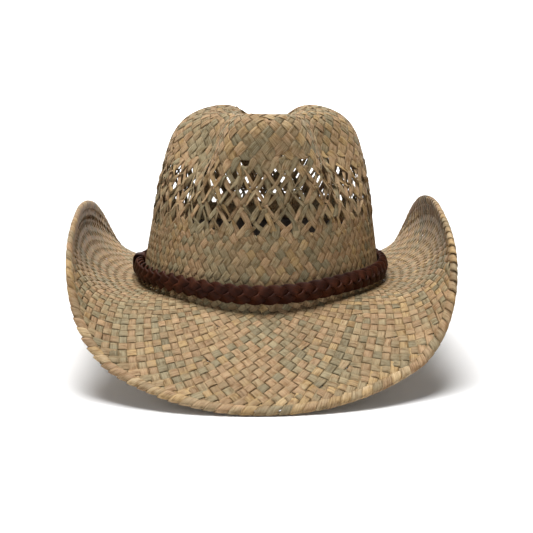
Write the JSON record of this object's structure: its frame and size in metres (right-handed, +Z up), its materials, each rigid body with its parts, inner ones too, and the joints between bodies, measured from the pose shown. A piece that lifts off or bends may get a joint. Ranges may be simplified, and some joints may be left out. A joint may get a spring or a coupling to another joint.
{
  "type": "cowboy hat",
  "caption": "Woven straw cowboy hat with a pinched, creased crown, an open-work vent band, a wired brim rolled up at the sides, and a braided leather hat band that lifts off.",
  "frame": {"origin": "On the surface the hat stands on, under the middle of its box: it stands on the front and the rear of its brim.", "axes": "+Z up through the crown, the front of the hat towards -Y, the wearer's left towards +X; length from front to rear along Y."},
  "size_m": [0.2672, 0.3692, 0.1813],
  "materials": {
    "straw_crown": "woven palm leaf, satin",
    "straw_brim": "woven palm leaf, satin",
    "straw_edge": "wrapped palm leaf, satin",
    "steel_wire": "drawn wire",
    "sweatband_cloth": "matt woven cloth",
    "thread": "twisted thread",
    "leather": "dyed leather, soft sheen"
  },
  "bodies": {
    "hat": {"crown_tip": "straw_crown", "crown_vent_band": "straw_crown", "crown_side_wall": "straw_crown", "brim": "straw_brim", "brim_border": "straw_brim", "brim_edge_roll": "straw_edge", "brim_edge_wire": "steel_wire", "sweatband": "sweatband_cloth", "sweatband_joint_tape": "sweatband_cloth", "sweatband_stitches": "thread"},
    "hat_band": {"hat_band_braid": "leather", "hat_band_knot": "leather"}
  },
  "joints": [
    {"name": "hat_band_lift", "type": "slide", "parent": "hat", "child": "hat_band", "axis": [0, 0, 1], "range_m": [0, 0.135]}
  ]
}
